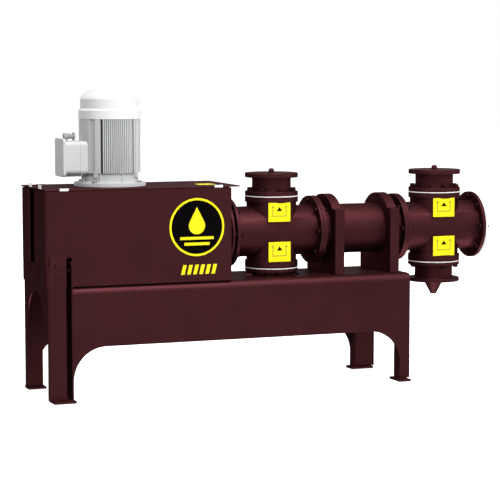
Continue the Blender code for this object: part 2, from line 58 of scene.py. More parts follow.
# Finishes
finishes = {
    "maroonPaint": {"slot": "maroon_paint", "colour": (0.100, 0.0275, 0.0315), "roughness": 0.48,
                    "specular": 0.0, "metallic": 0.9, "tint": (0.38, 0.41, 0.41), "drift": 0.06,
                    "bump": 0.08, "wear": 0.35},
    # a darker copy of the maroon paint for bolts and studs: painted shade on their small heads
    "shadedBoltPaint": {"slot": "maroon_paint", "colour": (0.040, 0.011, 0.0125), "roughness": 0.55,
                  "specular": 0.05, "metallic": 0.85, "tint": (0.38, 0.40, 0.40), "drift": 0.10,
                  "bump": 0.12, "wear": 0.40},
    "motorPaint": {"slot": "motor_grey", "colour": (0.72, 0.73, 0.73), "roughness": 0.38, "specular": 0.50,
                   "drift": 0.03, "bump": 0.10},
    "boxPaint": {"slot": "motor_grey", "colour": (0.56, 0.57, 0.57), "roughness": 0.45, "specular": 0.50,
                 "drift": 0.03, "bump": 0.10},
    "castPaint": {"slot": "motor_grey", "colour": (0.48, 0.49, 0.49), "roughness": 0.62, "specular": 0.18,
                  "drift": 0.04, "bump": 0.25, "grain": 260.0},
    "glandGrey": {"slot": "motor_grey", "colour": (0.30, 0.30, 0.30), "roughness": 0.45, "specular": 0.35,
                  "drift": 0.05, "bump": 0.12},
    "sealWhite": {"slot": "gasket_white", "colour": (0.88, 0.86, 0.86), "roughness": 0.55, "specular": 0.30,
                  "drift": 0.02, "bump": 0.06},
    "signYellow": {"colour": (0.93, 0.80, 0.010), "roughness": 0.40, "specular": 0.30, "drift": 0.02,
                   "bump": 0.03, "wear": 0.1},
    "signBlack": {"colour": (0.0016, 0.0012, 0.0011), "roughness": 0.50, "specular": 0.04, "drift": 0.10,
                  "bump": 0.03, "wear": 0.1},
    "signLine": {"colour": (0.42, 0.36, 0.020), "roughness": 0.45, "specular": 0.30, "drift": 0.06,
                 "bump": 0.03, "wear": 0.1},
    "zincSteel": {"colour": (0.52, 0.51, 0.49), "roughness": 0.34, "specular": 0.50, "metallic": 0.9,
                  "drift": 0.08, "bump": 0.12},
    # near-black finish for sheets put where there is only shade: painted shade
    "paintedShade": {"colour": (0.020, 0.018, 0.018), "roughness": 0.70, "specular": 0.20, "drift": 0.15,
                   "bump": 0.10, "wear": 0.0},
}
# what every finish shares: the sizes of its patterns, and how an edge rubs lighter
coat = {"cloud": 6.0, "speck": 90.0, "grain": 480.0, "span": (0.3, 0.7), "smoother": 0.05, "rougher": 0.06,
        "wear": 0.25, "edge": (0.53, 0.66), "speckSpan": (0.35, 0.65), "speckWear": (0.3, 1.0),
        "edgeGain": 1.8, "edgeLift": 0.012, "bumpDepth": 0.0005}


def mapRange(tree, source, span, result):
    node = tree.nodes.new("ShaderNodeMapRange")
    for name, value in zip(("From Min", "From Max", "To Min", "To Max"), (*span, *result)):
        node.inputs[name].default_value = value
    tree.links.new(source, node.inputs["Value"])
    return node.outputs["Result"]


def noise(tree, where, scale, detail):
    node = tree.nodes.new("ShaderNodeTexNoise")
    node.inputs["Scale"].default_value = scale
    node.inputs["Detail"].default_value = detail
    tree.links.new(where, node.inputs["Vector"])
    return node.outputs["Fac"]


def newFinish(name, look):
    material = bpy.data.materials.new(name)
    material.use_nodes = True
    tree = material.node_tree
    shader = tree.nodes["Principled BSDF"]
    shader.inputs["Metallic"].default_value = look.get("metallic", 0.0)
    shader.inputs["Specular IOR Level"].default_value = look["specular"]
    shader.inputs["Specular Tint"].default_value = (*look.get("tint", (1.0, 1.0, 1.0)), 1.0)
    where = tree.nodes.new("ShaderNodeTexCoord").outputs["Object"]

    cloud = noise(tree, where, coat["cloud"], 5.0)            # slow drift of the coat
    shade = tree.nodes.new("ShaderNodeVectorMath")
    shade.operation = "SCALE"
    shade.inputs[0].default_value = look["colour"]
    drift = (1.0 - look["drift"], 1.0 + look["drift"])
    tree.links.new(mapRange(tree, cloud, coat["span"], drift), shade.inputs["Scale"])

    geometry = tree.nodes.new("ShaderNodeNewGeometry")        # edges rub lighter, in specks
    speck = noise(tree, where, coat["speck"], 3.0)
    wear = mapRange(tree, geometry.outputs["Pointiness"], coat["edge"], (0.0, look.get("wear", coat["wear"])))
    rub = tree.nodes.new("ShaderNodeMath")
    rub.operation = "MULTIPLY"
    tree.links.new(wear, rub.inputs[0])
    tree.links.new(mapRange(tree, speck, coat["speckSpan"], coat["speckWear"]), rub.inputs[1])
    edge = tree.nodes.new("ShaderNodeMix")
    edge.data_type = "RGBA"
    rubbed = [min(1.0, c * coat["edgeGain"] + coat["edgeLift"]) for c in look["colour"]]
    edge.inputs["B"].default_value = (*rubbed, 1.0)
    tree.links.new(rub.outputs["Value"], edge.inputs["Factor"])
    tree.links.new(shade.outputs["Vector"], edge.inputs["A"])
    tree.links.new(edge.outputs["Result"], shader.inputs["Base Color"])
    rough = (look["roughness"] - coat["smoother"], look["roughness"] + coat["rougher"])
    tree.links.new(mapRange(tree, speck, coat["span"], rough), shader.inputs["Roughness"])

    skin = noise(tree, where, look.get("grain", coat["grain"]), 2.0)      # skin of the spray or the casting
    bump = tree.nodes.new("ShaderNodeBump")
    bump.inputs["Strength"].default_value = look["bump"]
    bump.inputs["Distance"].default_value = coat["bumpDepth"]
    tree.links.new(skin, bump.inputs["Height"])
    tree.links.new(bump.outputs["Normal"], shader.inputs["Normal"])
    return material


materials = {name: newFinish(name, look) for name, look in finishes.items()}
print("finishes:", len(materials))


# Shapes
def box(x, y, z):
    size = Vector((x[1] - x[0], y[1] - y[0], z[1] - z[0]))
    middle = Vector((x[1] + x[0], y[1] + y[0], z[1] + z[0])) / 2
    bm = bmesh.new()
    bmesh.ops.create_cube(bm, size=1.0, matrix=Matrix.Translation(middle) @ Matrix.Diagonal((*size, 1.0)))
    return bm


def rectangle(across, up):
    return [(across[0], up[0]), (across[1], up[0]), (across[1], up[1]), (across[0], up[1])]


def arc(centre, radius, start, end, steps):
    angles = [math.radians(start + (end - start) * i / steps) for i in range(steps + 1)]
    return [(centre[0] + radius * math.cos(a), centre[1] + radius * math.sin(a)) for a in angles]


def onCircle(radius, number, count=8):
    a = math.tau * number / count
    return radius * math.cos(a), radius * math.sin(a)


def lifted(p, axis, height):
    if axis == "X":
        return Vector((height, p[0], p[1]))
    if axis == "Y":
        return Vector((p[0], height, p[1]))
    return Vector((p[0], p[1], height))


def addPrism(bm, outline, axis, start, end):
    low = [bm.verts.new(lifted(p, axis, start)) for p in outline]
    high = [bm.verts.new(lifted(p, axis, end)) for p in outline]
    bm.faces.new(low)
    bm.faces.new(list(reversed(high)))
    for i in range(len(outline)):
        j = (i + 1) % len(outline)
        bm.faces.new((low[j], low[i], high[i], high[j]))
    return bm


def prism(outline, axis, start, end):
    return addPrism(bmesh.new(), outline, axis, start, end)


def addTurned(bm, profile, axis, centre, steps, turn=0.5):
    rings = []
    for radius, height in profile:
        angles = [math.tau * (i + turn) / steps for i in range(steps)]
        points = [(centre[0] + radius * math.cos(a), centre[1] + radius * math.sin(a)) for a in angles]
        rings.append([bm.verts.new(lifted(p, axis, height)) for p in points])
    for low, high in zip(rings, rings[1:]):
        for i in range(steps):
            j = (i + 1) % steps
            bm.faces.new((low[i], low[j], high[j], high[i]))
    bm.faces.new(list(reversed(rings[0])))
    bm.faces.new(rings[-1])
    return bm


# corners of a turned profile cut back by size
def softened(profile, size):
    path = [(0.0, profile[0][1])] + list(profile) + [(0.0, profile[-1][1])]
    result = []
    for before, here, after in zip(path, path[1:], path[2:]):
        a, b, c = Vector(before), Vector(here), Vector(after)
        reach = min(size, (a - b).length * 0.45, (c - b).length * 0.45)
        result += [tuple(b + (a - b).normalized() * reach), tuple(b + (c - b).normalized() * reach)]
    return result


def turned(profile, axis, centre, steps=96, soft=0.0012):
    return addTurned(bmesh.new(), softened(profile, soft) if soft else profile, axis, centre, steps)


def addRing(bm, centre, radius, thick, steps=64, sides=8):
    loops = []
    for i in range(steps):
        a = math.tau * i / steps
        loop = []
        for j in range(sides):
            b = math.tau * j / sides
            r = radius + thick * math.cos(b)
            spot = (centre[0] + r * math.cos(a), centre[1] + r * math.sin(a), centre[2] + thick * math.sin(b))
            loop.append(bm.verts.new(spot))
        loops.append(loop)
    for i in range(steps):
        for j in range(sides):
            k, m = (i + 1) % steps, (j + 1) % sides
            bm.faces.new((loops[i][j], loops[k][j], loops[k][m], loops[i][m]))


# one shape set round an upright axis at spot, at each angle; add draws it on the origin
def addAround(bm, spot, angles, add):
    for angle in angles:
        start = len(bm.verts)
        add(bm)
        matrix = Matrix.Translation(spot) @ Matrix.Rotation(math.radians(angle), 4, "Z")
        bm.verts.ensure_lookup_table()
        bmesh.ops.transform(bm, matrix=matrix, verts=bm.verts[start:])
    return bm


def newObject(name, bm):
    mesh = bpy.data.meshes.new(name)
    bm.to_mesh(mesh)
    bm.free()
    obj = bpy.data.objects.new(name, mesh)
    bpy.context.scene.collection.objects.link(obj)
    return obj


def piece(name, bm, finish="maroonPaint", bevel=0.0, sharp=50.0, replaces=(), segments=2):
    bmesh.ops.recalc_face_normals(bm, faces=bm.faces)
    bmesh.ops.translate(bm, vec=(leftEnd, 0.0, 0.0), verts=bm.verts)
    obj = newObject(name, bm)
    mesh = obj.data
    mesh.materials.append(materials[finish])
    mesh.shade_smooth()
    mesh.set_sharp_from_angle(angle=math.radians(sharp))
    if bevel:
        soften = obj.modifiers.new("edges", "BEVEL")
        soften.width = bevel
        soften.segments = segments
        soften.limit_method = "ANGLE"
        soften.angle_limit = math.radians(38)
        soften.harden_normals = True
    even = obj.modifiers.new("even shading", "WEIGHTED_NORMAL")
    even.keep_sharp = True
    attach(obj, "root")
    if replaces:
        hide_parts(*replaces)


# one shape from two by a Boolean; both are used up
def combined(first, second, operation):
    made = []
    for bm in (first, second):
        bmesh.ops.recalc_face_normals(bm, faces=bm.faces)
        made.append(newObject("shape", bm))
    modifier = made[0].modifiers.new("boolean", "BOOLEAN")
    modifier.operation = operation
    modifier.solver = "EXACT"
    modifier.object = made[1]
    bpy.context.view_layer.update()
    result = bmesh.new()
    result.from_object(made[0], bpy.context.evaluated_depsgraph_get())
    for obj in made:
        mesh = obj.data
        bpy.data.objects.remove(obj)
        bpy.data.meshes.remove(mesh)
    return result


def cut(first, second):
    return combined(first, second, "DIFFERENCE")


# widths are shares of the width over the flats, or of the radius over the corners for foot and crown
hexHead = {"washer": 0.64, "washerThick": 0.0022, "washerShare": 0.2, "foot": 0.95, "crown": 0.88,
           "chamfer": 0.10, "thread": 0.32, "threadTip": 0.26, "threadChamfer": 0.0012}


# a chamfered hex on its washer, standing on spot along an axis; stub is the thread that shows past it
def addHex(bm, spot, axis, width, height, sign=1, stub=0.0, turn=0.0, washer=True):
    plane = {"X": (spot[1], spot[2]), "Y": (spot[0], spot[2]), "Z": (spot[0], spot[1])}[axis]
    h, start, radius = hexHead, spot["XYZ".index(axis)], width / math.sqrt(3)
    top = start + sign * height
    if washer:
        seat = start + sign * min(h["washerThick"], height * h["washerShare"])
        addTurned(bm, [(width * h["washer"], start), (width * h["washer"], seat)], axis, plane, 24)
        start = seat
    edge = sign * height * h["chamfer"]
    head = [(radius * h["foot"], start), (radius, start + edge * 0.6), (radius, top - edge * 1.3),
            (radius * h["crown"], top)]
    addTurned(bm, head, axis, plane, 6, turn)
    if stub:
        thread, tip = width * h["thread"], width * h["threadTip"]
        shank = [(thread, top - sign * bite), (thread, top + sign * (stub - h["threadChamfer"])),
                 (tip, top + sign * stub)]
        addTurned(bm, shank, axis, plane, 16)


# Frame: folded beams with arches, left legs, bracket, deck and feet
beam = {
    "left": 0.1133, "rearLeft": 0.0867, "right": 1.640, "half": 0.190, "bottom": 0.0103, "flange": 0.040,
    "bend": 0.034, "corner": 0.010,             # radii of the long top folds and of the right corners
    "archTop": 0.2215, "archRadius": 0.140, "frontArch": (0.1135, 1.589), "rearArch": (0.060, 1.523),
    "endArchRadius": 0.1285, "endArchSpring": 0.312, "apron": 0.262, "legEdge": 0.181,
    "legDepth": 0.060, "legPlateTop": 0.300, "edge": 0.0008,
}
rib = {"left": 0.107, "top": 0.578, "corner": 0.020, "depth": 0.095, "edge": 0.0010,
       "heel": -0.1415, "low": 0.0010}          # behind the foot it comes down to the floor
legs = {"left": 0.0065, "right": 0.0864, "fold": 0.014, "edge": 0.0008}
bracket = {"left": 0.002, "half": 0.1903, "endTop": 0.557, "sideTop": 0.597, "edge": 0.0008,
           "sideX": 0.046, "sideZ": (0.560, 0.520), "sideHex": (0.016, 0.006),
           "endY": (-0.0640, 0.0790), "endZ": 0.536, "endHex": (0.024, 0.0038)}


# a block with its long top edges folded in a wide bend and its right edges in a narrow one
def foldedBlock(x, y, z, fold, corner):
    across = [(y[0], z[0])] + arc((y[0] + fold, z[1] - fold), fold, 180, 90, 12)
    across += arc((y[1] - fold, z[1] - fold), fold, 90, 0, 12) + [(y[1], z[0])]
    plan = [(x[0], y[0])] + arc((x[1] - corner, y[0] + corner), corner, 270, 360, 8)
    plan += arc((x[1] - corner, y[1] - corner), corner, 0, 90, 8) + [(x[0], y[1])]
    along = [(x[0], z[0]), (x[1], z[0])] + arc((x[1] - corner, z[1] - corner), corner, 0, 90, 8)
    along += [(x[0], z[1])]
    block = combined(prism(across, "X", *x), prism(plan, "Z", z[0] - past, z[1] + past), "INTERSECT")
    return combined(block, prism(along, "Y", y[0] - past, y[1] + past), "INTERSECT")


def sideArch(span):
    spring, r = beam["archTop"] - beam["archRadius"], beam["archRadius"]
    return ([(span[0], underFloor)] + arc((span[0] + r, spring), r, 180, 90, 28)
            + arc((span[1] - r, spring), r, 90, 0, 28) + [(span[1], underFloor)])


def endArch():
    r, edge, apron = beam["endArchRadius"], beam["legEdge"], beam["apron"]
    crown = arc((0.0, beam["endArchSpring"]), r, 180, 0, 48)
    return ([(-edge, underFloor), (-edge, apron), (-r, apron)] + crown
            + [(r, apron), (edge, apron), (edge, underFloor)])


# back is how far the front flange's right edge is folded back into the frame
def foldedPlan(left, right, half, radius, back=0.0):
    inner = radius - sheet
    start, end = [(right, -half)], [(right, -half + sheet)]
    if back:
        start = [(right, -half + back)] + arc((right - inner, -half + inner), inner, 0, -90, 8)
        end = [(right - sheet, -half + sheet), (right - sheet, -half + back)]
    outline = start + arc((left + radius, -half + radius), radius, 270, 180, 10)
    outline += arc((left + radius, half - radius), radius, 180, 90, 10)
    outline += [(right, half), (right, half - sheet)]
    outline += arc((left + radius, half - radius), inner, 90, 180, 8)
    outline += arc((left + radius, -half + radius), inner, 180, 270, 8) + end
    return outline


def makeBeams():
    b = beam
    half, opening = b["half"], b["half"] - b["flange"]
    left, right, bottom, top = b["rearLeft"], b["right"], b["bottom"], frameTop
    shell = foldedBlock((left, right), (-half, half), (bottom, top), b["bend"], b["corner"])
    hollow = foldedBlock((left - past, right - sheet), (-half + sheet, half - sheet),
                         (underFloor, top - sheet), b["bend"] - sheet, b["corner"] - sheet)
    shell = cut(shell, hollow)
    shell = cut(shell, box((left - past, right - b["flange"]), (-opening, opening), (top - past, top + past)))
    # the front beam starts at the upright rib, the rear one further left
    shell = cut(shell, box((left - past, b["left"]), (-half - past, 0.0), (underFloor, top + past)))
    shell = cut(shell, prism(sideArch(b["frontArch"]), "Y", -half - past, 0.0))
    shell = cut(shell, prism(sideArch(b["rearArch"]), "Y", 0.0, half + past))
    shell = cut(shell, prism(endArch(), "X", right - past, right + past))
    piece("beamShell", shell, sharp=30, replaces=("front_beam", "rear_beam", "right_end_plate"))

    r = rib
    inner = -half + r["depth"]
    outline = [(-half, bottom)] + arc((-half + r["corner"], r["top"] - r["corner"]), r["corner"], 180, 90, 10)
    outline += [(inner, r["top"]), (inner, r["low"]), (r["heel"], r["low"]), (r["heel"], bottom)]
    piece("uprightRib", prism(outline, "X", r["left"], r["left"] + sheet), bevel=r["edge"],
          replaces=("front_left_rib",))
    inside = half - sheet - hair
    for side, x, y in (("front", b["frontArch"][1], (-inside, -half + b["legDepth"])),
                       ("rear", b["rearArch"][1], (half - b["legDepth"], inside))):
        piece(side + "LegPlate", box((x, x + sheet), y, (bottom, b["legPlateTop"])),
              bevel=b["edge"], replaces=(side + "_right_leg_plate",))


def makeLeftLegs():
    plan = foldedPlan(legs["left"], legs["right"], beam["half"], legs["fold"], rib["depth"])
    shell = cut(prism(plan, "Z", beam["bottom"], frameTop), prism(endArch(), "X", -past, legs["left"] + past))
    piece("leftLegs", shell, bevel=legs["edge"], sharp=30, replaces=("left_leg_frame",))

    b = bracket
    wide = b["half"] + past
    plan = foldedPlan(b["left"], legs["right"], b["half"], legs["fold"])
    folded = cut(prism(plan, "Z", frameTop + hair, b["sideTop"]),
                 box((-past, b["left"] + legs["fold"]), (-wide, wide), (b["endTop"], b["sideTop"] + past)))
    piece("leftBracket", folded, bevel=b["edge"], sharp=30, replaces=("left_bracket",))
    bolts = bmesh.new()
    for z in b["sideZ"]:
        for sign in (-1, 1):
            addHex(bolts, (b["sideX"], sign * b["half"], z), "Y", *b["sideHex"], sign)
    for y in b["endY"]:
        addHex(bolts, (b["left"], y, b["endZ"]), "X", *b["endHex"], -1, turn=0.5, washer=False)
    piece("bracketBolts", bolts)


foot = {"thick": 0.010, "hole": 0.006, "margin": 0.015, "edge": 0.0010,
        "places": {"front_left": ((0.020, 0.113), (-0.232, -0.142)),
                   "rear_left": ((0.018, 0.095), (0.165, 0.232)),
                   "front_right": ((1.568, 1.624), (-0.232, -0.130)),
                   "rear_right": ((1.523, 1.630), (0.165, 0.232))}}


def makeFeet():
    for name, (x, y) in foot["places"].items():
        slab = box(x, y, (0.0, foot["thick"]))
        outer = max(y, key=abs)
        for hole in (x[0] + foot["margin"], x[1] - foot["margin"]):
            spot = (hole, outer - math.copysign(foot["margin"], outer))
            slab = cut(slab, turned([(foot["hole"], -past), (foot["hole"], past)], "Z", spot, 28, 0))
        title = "".join(word.title() for word in name.split("_"))
        piece(title + "Foot", slab, bevel=foot["edge"], replaces=(name + "_foot",))


deck = {"left": 0.807, "right": 1.5997, "half": 0.1497, "holeX": 1.060, "hole": 0.122, "edge": 0.0006}


def makeDeck():
    d = deck
    hole = turned([(d["hole"], frameTop - past), (d["hole"], frameTop + past)], "Z", (d["holeX"], 0.0), 80, 0)
    slab = cut(box((d["left"], d["right"]), (-d["half"], d["half"]), (frameTop - sheet, frameTop)), hole)
    piece("deckPlate", slab, bevel=d["edge"], replaces=("deck_plate",))


makeBeams()
makeLeftLegs()
makeFeet()
makeDeck()
print("frame: beams, legs, bracket, feet and deck")


# Housing: folded panels, lid with its clips, round plate and stripe
housing = {"length": 0.805, "half": 0.184, "top": 0.8615, "fold": 0.014, "seam": 0.0020,
           "groove": (-0.008, 0.075), "lip": 0.008,             # the tall gap in the left end, along Y
           "slot": (0.0867, 0.1135), "slotTop": 0.593, "frontEdge": 0.0010, "rearEdge": 0.0006,
           "boltY": -0.155, "boltZ": (0.568, 0.536), "boltHex": (0.016, 0.008)}
lid = {"left": -0.002, "right": 0.843, "half": 0.187, "bottom": 0.8645, "edge": 0.0024}
clip = {"width": 0.037, "sides": (0.0808, 0.7475), "sideHeights": (0.8633, 0.8730), "proud": 0.0008,
        "ends": (-0.1125, 0.0365), "endTop": 0.8860, "thick": 0.0022, "reach": 0.0090, "endReach": 0.0035,
        "edge": 0.0005}


def foldedSide(front):
    h = housing
    sign = -1.0 if front else 1.0
    tip = h["groove"][0] if front else h["groove"][1]
    r, wide = h["fold"], h["half"] + past
    corner = (r, sign * (h["half"] - r))
    start, end = (270, 180) if front else (90, 180)
    lip, turn = (h["lip"], tip + sign * h["lip"]), 180 + sign * 90    # the edge rolls in beside the groove
    outline = [(h["length"], sign * h["half"])] + arc(corner, r, start, end, 10)
    outline += arc(lip, h["lip"], 180, turn, 8) + arc(lip, h["lip"] - sheet, turn, 180, 8)
    outline += list(reversed(arc(corner, r - sheet, start, end, 8)))
    outline += [(h["length"], sign * (h["half"] - sheet))]
    notch = box((-past, bracket["left"] + r + hair), (-wide, wide),
                (frameTop - past, bracket["endTop"] + hair))
    return cut(prism(outline, "Z", frameTop + h["seam"], h["top"]), notch)


def makeHousing():
    h = housing
    left, right = h["slot"]
    half, low = (right - left) / 2, frameTop - past
    slot = [(left, low)] + arc(((left + right) / 2, h["slotTop"] - half), half, 180, 0, 18) + [(right, low)]
    front = cut(foldedSide(True), prism(slot, "Y", -h["half"] - past, -h["half"] + past))
    piece("housingFront", front, bevel=h["frontEdge"], sharp=30, replaces=("housing_front_panel",))
    piece("housingRear", foldedSide(False), bevel=h["rearEdge"], sharp=30, replaces=("housing_rear_panel",))
    bolts = bmesh.new()
    for z in h["boltZ"]:
        addHex(bolts, (rib["left"], h["boltY"], z), "X", *h["boltHex"], -1)
    piece("ribBolts", bolts, "shadedBoltPaint")


def makeLid():
    half, c = lid["half"], clip
    piece("lid", box((lid["left"], lid["right"]), (-half, half), (lid["bottom"], lidTop)),
          bevel=lid["edge"], segments=4, replaces=("housing_lid",))
    w, seat = c["width"] / 2, lidTop + hair
    low, high = c["sideHeights"]
    clips = bmesh.new()
    for x in c["sides"]:
        for sign in (-1, 1):
            back, face = sign * half, sign * (half + c["proud"])
            inner = back - sign * c["reach"]
            hook = [(face, low), (face, high), (inner, high), (inner, seat), (back, seat), (back, low)]
            addPrism(clips, hook, "X", x - w, x + w)
    x, t = lid["left"], c["thick"]
    reach = x + c["endReach"]
    hook = [(x, seat), (x, c["endTop"]), (x + t, c["endTop"]), (x + t, seat + t), (reach, seat + t),
            (reach, seat)]
    for y in c["ends"]:
        addPrism(clips, hook, "Y", y - w, y + w)
    piece("lidClips", clips, "sealWhite", bevel=c["edge"])


plate = {"x": 0.651, "z": 0.700, "radius": 0.122, "border": 0.010, "thick": 0.0009, "skin": 0.0003,
         "rim": 0.001, "drop": 0.036, "dropRise": 0.006, "tip": 0.084,
         "bars": ((-0.046, 0.074), (-0.070, 0.056)), "barHalf": 0.006}    # each bar's height and half length
stripe = {"x": (0.580, 0.740), "z": (0.503, 0.543), "bars": 6, "bar": 0.016, "lean": 0.010, "thick": 0.0005}
lidPlate = {"x": (0.695, 0.766), "y": (-0.100, -0.032), "thick": 0.0009, "edge": 0.0003}


def makeSigns():
    p = plate
    front = -housing["half"]
    face, skin = front - p["thick"], front - p["thick"] - p["skin"]
    spot = (p["x"], p["z"])
    disc = turned([(p["radius"], front), (p["radius"], face)], "Y", spot, 96, p["skin"])
    piece("roundPlate", disc, "signBlack")
    mark = bmesh.new()
    outer = arc(spot, p["radius"] - p["rim"], 0, 360, 96)
    inner = arc(spot, p["radius"] - p["border"], 0, 360, 96)
    for corners in zip(outer, outer[1:], inner[1:], inner):
        addPrism(mark, corners, "Y", face, skin)
    drop = arc((p["x"], p["z"] + p["dropRise"]), p["drop"], 150, 390, 36) + [(p["x"], p["z"] + p["tip"])]
    addPrism(mark, drop, "Y", face, skin)
    for rise, reach in p["bars"]:
        z = p["z"] + rise
        bar = rectangle((p["x"] - reach, p["x"] + reach), (z - p["barHalf"], z + p["barHalf"]))
        addPrism(mark, bar, "Y", face, skin)
    piece("roundPlateMark", mark, "signYellow")

    s = stripe
    bars = bmesh.new()
    pitch = (s["x"][1] - s["x"][0] - s["bar"] - s["lean"]) / (s["bars"] - 1)
    low, high = s["z"]
    for number in range(s["bars"]):
        x = s["x"][0] + number * pitch
        bar = [(x, low), (x + s["bar"], low), (x + s["bar"] + s["lean"], high), (x + s["lean"], high)]
        addPrism(bars, bar, "Y", front, front - s["thick"])
    piece("stripeBars", bars, "signYellow")
    label = box(lidPlate["x"], lidPlate["y"], (lidTop, lidTop + lidPlate["thick"]))
    piece("lidPlate", label, "signYellow", bevel=lidPlate["edge"])


makeHousing()
makeLid()
makeSigns()
print("housing: panels, lid, clips and plates")


# Motor: flange, end shield, finned stator, cowl, terminal box and gland
motor = {
    "x": 0.332, "low": 0.9265, "high": 1.149, "flange": 0.150, "flangeThick": 0.0160,
    "shield": 0.1190, "shieldFoot": ((0.006, 0.0168), (0.002, 0.0185), (0.0, 0.0230)),    # out and up
    "shieldTop": ((0.0, -0.014), (-0.003, -0.011), (-0.003, 0.0)),
    "stator": 0.128, "core": 0.108, "fins": 16, "sector": 58.0, "plain": 33.0,
    # across a fin and across the joints of the quarters: the place in fin pitches or degrees, and the depth
    "fin": ((-0.38, 0.55), (-0.30, 0.05), (-0.23, 0.0), (0.23, 0.0), (0.30, 0.05), (0.38, 0.55)),
    "betweenFins": ((30.6, 1), (33.6, 1), (34.1, 0), (37.8, 0), (38.2, 0.5), (39.8, 0.5), (40.2, 0),
                    (45.0, 0)),
    "besidePlain": ((30.6, 1), (34.3, 1), (34.8, 0), (38.0, 0), (42.0, 0), (46.2, 0), (46.8, 0.2),
                    (51.5, 0.2), (56.5, 0.2)),
}
shieldRib = {"count": 8, "turn": 9.0, "half": 0.0030, "inner": 0.112, "foot": (0.1300, 0.014),
             "heel": (0.1240, 0.022), "top": 0.1225, "short": 0.001, "edge": 0.0008}
lug = {"reach": (0.105, 0.1275), "half": 0.010, "below": 0.019, "above": 0.004, "edge": 0.0022}
flangeBolt = {"circle": 0.1365, "rise": 0.0155, "hex": (0.018, 0.0090)}
groove = {"turn": 32.1, "reach": (-0.002, 0.0175), "half": 0.0027, "short": 0.001}    # painted shade: dark strips deep in the grooves beside the fins
corners = (45, 135, 225, 315)


def statorPlan():
    m = motor
    r, core = m["stator"], m["core"]
    outline = []

    def add(angle, depth):                      # depth 0 is the outer skin, 1 the bottom of the grooves
        a, radius = math.radians(angle), r - (r - core) * depth
        outline.append((m["x"] + radius * math.cos(a), radius * math.sin(a)))

    def mirrored(joint):
        return tuple((90 - angle, depth) for angle, depth in reversed(joint))

    pitch = m["sector"] / (m["fins"] - 1)
    between, beside = m["betweenFins"] + mirrored(m["betweenFins"][:-1]), m["besidePlain"]
    for quarter, joint in enumerate((between, between, beside, mirrored(beside))):
        middle = -90.0 + 90.0 * quarter
        if quarter == 3:                        # plain side behind the terminal box
            for step in range(23):
                add(middle + m["plain"] * (step / 11 - 1), 0.06 if step in (0, 22) else 0.0)
        else:
            for fin in range(m["fins"]):
                crest = middle - m["sector"] / 2 + fin * pitch
                for share, depth in m["fin"]:
                    add(crest + share * pitch, depth)
        for angle, depth in joint:
            add(middle + angle, depth)
    return outline


def makeMotor():
    m = motor
    spot, centre = (m["x"], 0.0), (m["x"], 0.0, 0.0)
    low, high, r = lidTop + hair, m["low"] - hair, m["shield"]
    shield = [(m["flange"], low), (m["flange"], low + m["flangeThick"])]
    shield += [(r + out, low + up) for out, up in m["shieldFoot"]]
    shield += [(r + out, high + up) for out, up in m["shieldTop"]]
    piece("endShield", turned(shield, "Z", spot, 120, 0.0010), "castPaint", replaces=("motor_flange",))

    s = shieldRib
    (footX, footRise), (heelX, heelRise), top = s["foot"], s["heel"], m["low"] - s["short"]
    web = [(s["inner"], low + footRise), (footX, low + footRise), (heelX, low + heelRise), (s["top"], top),
           (s["inner"], top)]
    angles = [s["turn"] + 360 / s["count"] * number for number in range(s["count"])]
    ribs = addAround(bmesh.new(), centre, angles, lambda bm: addPrism(bm, web, "Y", -s["half"], s["half"]))
    piece("shieldRibs", ribs, "castPaint", bevel=s["edge"])

    outline = rectangle(lug["reach"], (-lug["half"], lug["half"]))
    lugs = addAround(bmesh.new(), centre, corners,
                     lambda bm: addPrism(bm, outline, "Z", m["low"] - lug["below"], m["low"] + lug["above"]))
    piece("statorLugs", lugs, "castPaint", bevel=lug["edge"], segments=3)
    heads = bmesh.new()
    for angle in corners:
        x, y = onCircle(flangeBolt["circle"], angle, 360)
        addHex(heads, (m["x"] + x, y, low + flangeBolt["rise"]), "Z", *flangeBolt["hex"])
    piece("flangeBolts", heads, "zincSteel")

    piece("stator", prism(statorPlan(), "Z", m["low"], m["high"]), "castPaint", sharp=28,
          replaces=("motor_stator",))
    # dark strips at the bottom of the grooves beside the fins: painted shade
    g = groove
    strip = rectangle([m["core"] + reach for reach in g["reach"]], (-g["half"], g["half"]))
    angles = [90 * quarter + side * g["turn"] for quarter in range(4) for side in (-1, 1)]
    shades = addAround(bmesh.new(), centre, angles,
                       lambda bm: addPrism(bm, strip, "Z", m["low"] + g["short"], m["high"] - g["short"]))
    piece("statorGrooveShade", shades, "paintedShade")


cowl = {"radius": 0.129, "upper": 0.1215, "step": 1.186, "crease": 1.2320, "top": 1.2655, "mouth": 0.088,
        "floor": 0.0098, "floorThick": 0.0008, "floorIn": 0.0015,
        "skirt": ((0.0, -0.002), (-0.0015, 0.0)),           # out from the radius, up from the step
        "shoulder": ((0.0010, 0.0045), (0.0, 0.0065)),      # out from the upper part, up from the step
        "dome": ((0.0, 0.0), (0.0008, 0.0008), (0.0058, 0.0100), (0.0105, 0.0158), (0.0160, 0.0207),
                 (0.0215, 0.0248), (0.0270, 0.0278)),       # in and up from the crease
        # out and up from the mouth
        "rim": ((0.003, -0.0030), (0.001, 0.0), (0.0, -0.0005), (-0.001, -0.010))}
guard = {"rings": (0.080, 0.067, 0.054, 0.041, 0.028), "wire": 0.0017, "spokes": 8, "hub": 0.017,
         "spokeFrom": 0.014, "below": 0.0012, "hubLow": 0.001, "hubHigh": 0.002}
cowlScrew = {"z": 1.166, "profile": ((0.0046, 0.1255), (0.0046, 0.1287), (0.0030, 0.1296))}


